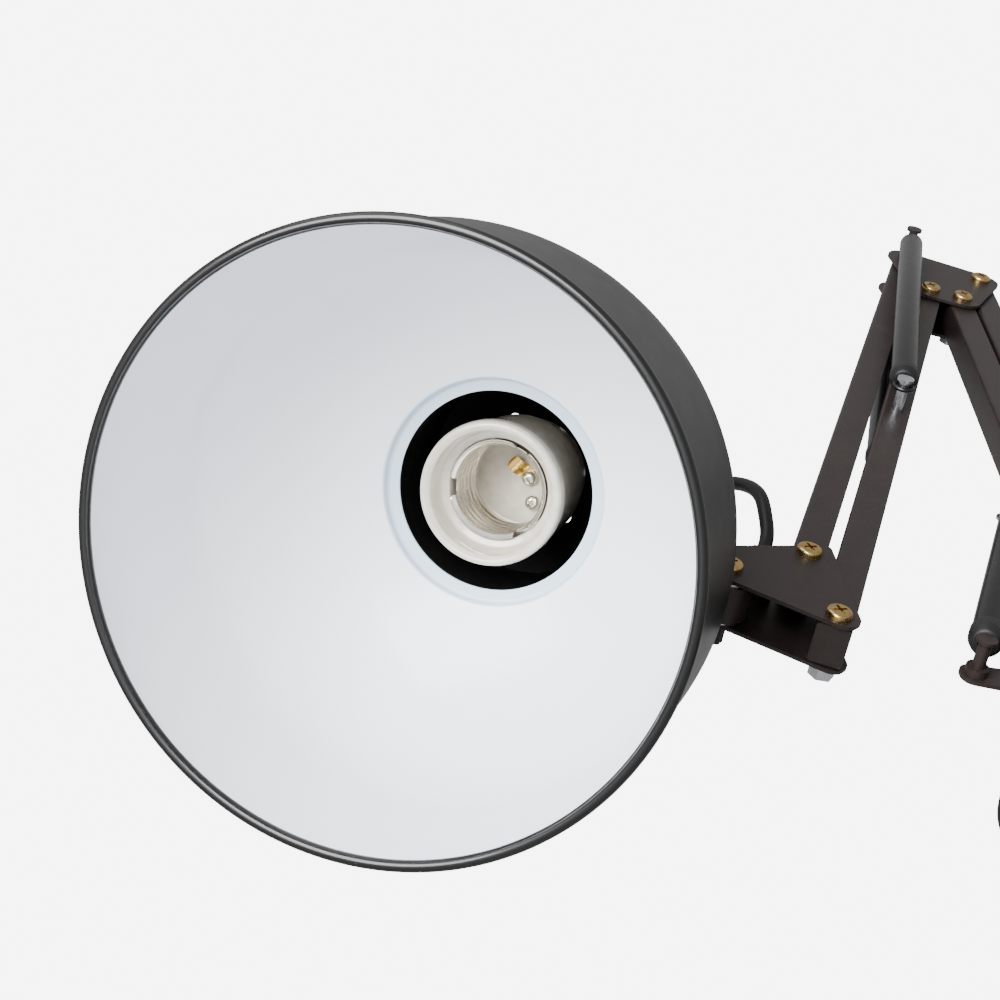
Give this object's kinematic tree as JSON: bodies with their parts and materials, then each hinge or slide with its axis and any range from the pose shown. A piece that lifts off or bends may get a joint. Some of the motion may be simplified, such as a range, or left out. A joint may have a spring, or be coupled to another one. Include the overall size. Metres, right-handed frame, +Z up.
{
  "type": "swing arm desk lamp",
  "caption": "Black desk lamp with two sprung parallelogram arms on a screw-down table clamp, and a deep tilting, swivelling domed shade, white inside, over a ceramic screw lampholder.",
  "frame": {"origin": "on the tabletop, under the clamp's upper jaw, on the axis of the base swivel", "axes": "+Z up along the base swivel; the arms lie in the XZ plane with the head towards -X; -Y is the side of the screw heads"},
  "size_m": [0.3473, 0.1788, 0.5198],
  "materials": {
    "satin_black": "satin dark grey-brown black paint",
    "white_enamel": "gloss white enamel inside the shade",
    "bead_black": "gloss black",
    "cup_black": "satin black",
    "porcelain": "off-white glaze",
    "nickel": "nickel plate",
    "brass_contact": "bright brass",
    "yellow_zinc": "yellow zinc plate",
    "bright_zinc": "bright zinc plate",
    "spring_steel": "drawn wire",
    "black_vinyl": "gloss black vinyl sleeve",
    "black_cord": "black PVC",
    "black_nylon": "moulded black",
    "cast_black": "black painted casting"
  },
  "bodies": {
    "clamp": {"clamp_body": "cast_black", "mains_lead": "black_cord", "lead_coil": "black_cord", "coil_tie": "black_nylon", "plug_body": "black_nylon", "plug_pins": "bright_zinc", "plug_lead": "black_cord"},
    "pad": {"clamp_pad": "bright_zinc"},
    "screw": {"clamp_screw": "bright_zinc"},
    "tommy": {"tommy_bar": "bright_zinc"},
    "thumb_screw": {"thumb_screw": "bright_zinc"},
    "base": {"base_plate_near": "satin_black", "base_plate_far": "satin_black", "base_screws": "yellow_zinc", "base_nuts": "bright_zinc", "spring_stud": "bright_zinc", "base_block": "satin_black", "lead_gland": "black_nylon"},
    "lower_front": {"lower_bar_front": "satin_black", "lower_spring_pin": "bright_zinc", "lower_spring_eye": "spring_steel"},
    "lower_rear": {"lower_bar_rear": "satin_black"},
    "elbow": {"elbow_plate_near": "satin_black", "elbow_plate_far": "satin_black", "elbow_screws": "yellow_zinc", "elbow_nuts": "bright_zinc", "elbow_spring_bolt": "yellow_zinc", "elbow_cover": "satin_black"},
    "upper_front": {"upper_bar_front": "satin_black"},
    "upper_rear": {"upper_bar_rear": "satin_black", "upper_spring_pin": "bright_zinc", "upper_spring_eyes": "spring_steel"},
    "upper_spring": {"upper_sleeve_near": "black_vinyl", "upper_sleeve_far": "black_vinyl", "upper_springs": "spring_steel"},
    "lower_spring": {"lower_sleeve": "black_vinyl", "lower_spring": "spring_steel"},
    "bracket": {"head_plate_near": "satin_black", "head_plate_far": "satin_black", "head_screws": "yellow_zinc", "head_nuts": "bright_zinc", "tilt_washers": "bright_zinc", "cord_clamp": "black_nylon"},
    "tilt_knob": {"tilt_knob": "black_nylon"},
    "yoke": {"yoke_block": "satin_black", "swivel_pin": "bright_zinc", "head_cord_bracket": "black_cord"},
    "shade": {"shade": "white_enamel", "rim_bead": "bead_black", "socket_cup": "cup_black", "cup_cap": "cup_black", "lampholder": "porcelain", "screw_shell": "nickel", "holder_contacts": "brass_contact", "holder_nipple": "bright_zinc", "cup_boss": "cup_black", "cord_gland": "black_nylon", "head_cord_cup": "black_cord"},
    "switch_knob": {"switch_knob": "black_nylon"}
  },
  "joints": [
    {"name": "base_swivel", "type": "hinge", "parent": "clamp", "child": "base", "pos_m": [0, 0, 0.02], "axis": [0, 0, 1], "range_deg": [-95, 95], "deforming": ["mains_lead"]},
    {"name": "lower_arm", "type": "hinge", "parent": "base", "child": "lower_front", "pos_m": [-0.0068, 0, 0.0582], "axis": [0, 1, 0], "range_deg": [-60, 3]},
    {"name": "lower_rear_link", "type": "hinge", "parent": "base", "child": "lower_rear", "pos_m": [0.0068, 0, 0.0849], "axis": [0, 1, 0], "range_deg": [-60, 3]},
    {"name": "elbow_level", "type": "hinge", "parent": "lower_front", "child": "elbow", "pos_m": [0.00681, 0, 0.35789], "axis": [0, 1, 0], "range_deg": [-3, 60]},
    {"name": "upper_arm", "type": "hinge", "parent": "elbow", "child": "upper_front", "pos_m": [-0.01019, 0, 0.39689], "axis": [0, 1, 0], "range_deg": [-4, 90]},
    {"name": "upper_rear_link", "type": "hinge", "parent": "elbow", "child": "upper_rear", "pos_m": [-0.00629, 0, 0.36149], "axis": [0, 1, 0], "range_deg": [-4, 90]},
    {"name": "head_level", "type": "hinge", "parent": "upper_front", "child": "bracket", "pos_m": [-0.09439, 0, 0.10895], "axis": [0, 1, 0], "range_deg": [-90, 4]},
    {"name": "upper_spring_swing", "type": "hinge", "parent": "elbow", "child": "upper_spring", "pos_m": [-0.01019, 0, 0.39689], "axis": [0, 1, 0], "range_deg": [-4, 80], "deforming": ["upper_sleeve_near", "upper_sleeve_far", "upper_springs"]},
    {"name": "lower_spring_swing", "type": "hinge", "parent": "base", "child": "lower_spring", "pos_m": [-0.0538, 0, 0.0537], "axis": [0, 1, 0], "range_deg": [-62, 4], "deforming": ["lower_sleeve", "lower_spring"]},
    {"name": "head_tilt", "type": "hinge", "parent": "bracket", "child": "yoke", "pos_m": [-0.12089, 0, 0.09165], "axis": [0, 1, 0], "range_deg": [-40, 18], "deforming": ["head_cord_bracket"]},
    {"name": "head_swivel", "type": "hinge", "parent": "yoke", "child": "shade", "pos_m": [-0.12089, 0, 0.09165], "axis": [-0.8016, 0, 0.5978], "range_deg": [-80, 80], "deforming": ["head_cord_cup"]},
    {"name": "tilt_knob_turn", "type": "hinge", "parent": "bracket", "child": "tilt_knob", "pos_m": [-0.12089, 0, 0.09165], "axis": [0, 1, 0], "range_deg": [-90, 90]},
    {"name": "switch_turn", "type": "hinge", "parent": "shade", "child": "switch_knob", "pos_m": [-0.16872, 0.01097, 0.17969], "axis": [0.3489, 0.244, 0.9048], "range_deg": [0, 90]},
    {"name": "pad_slide", "type": "slide", "parent": "clamp", "child": "pad", "axis": [0, 0, 1], "range_m": [-0.02, 0.02]},
    {"name": "clamp_screw_turn", "type": "hinge", "parent": "pad", "child": "screw", "pos_m": [0.006, 0, -0.06], "axis": [0, 0, 1], "range_deg": [-3600, 3600]},
    {"name": "tommy_slide", "type": "slide", "parent": "screw", "child": "tommy", "axis": [1, 0, 0], "range_m": [-0.016, 0.016]},
    {"name": "thumb_screw_turn", "type": "hinge", "parent": "clamp", "child": "thumb_screw", "pos_m": [0, -0.015, 0.0263], "axis": [0, 1, 0], "range_deg": [-180, 180]}
  ],
  "couplings": [
    {"joint": "lower_rear_link", "follows": "lower_arm", "ratio": 1},
    {"joint": "elbow_level", "follows": "lower_arm", "ratio": -1},
    {"joint": "lower_spring_swing", "follows": "lower_arm", "ratio": 1.01},
    {"joint": "upper_rear_link", "follows": "upper_arm", "ratio": 1},
    {"joint": "head_level", "follows": "upper_arm", "ratio": -1},
    {"joint": "upper_spring_swing", "follows": "upper_arm", "ratio": 0.865},
    {"joint": "clamp_screw_turn", "follows": "pad_slide", "rad_per_m": 3141.6}
  ]
}
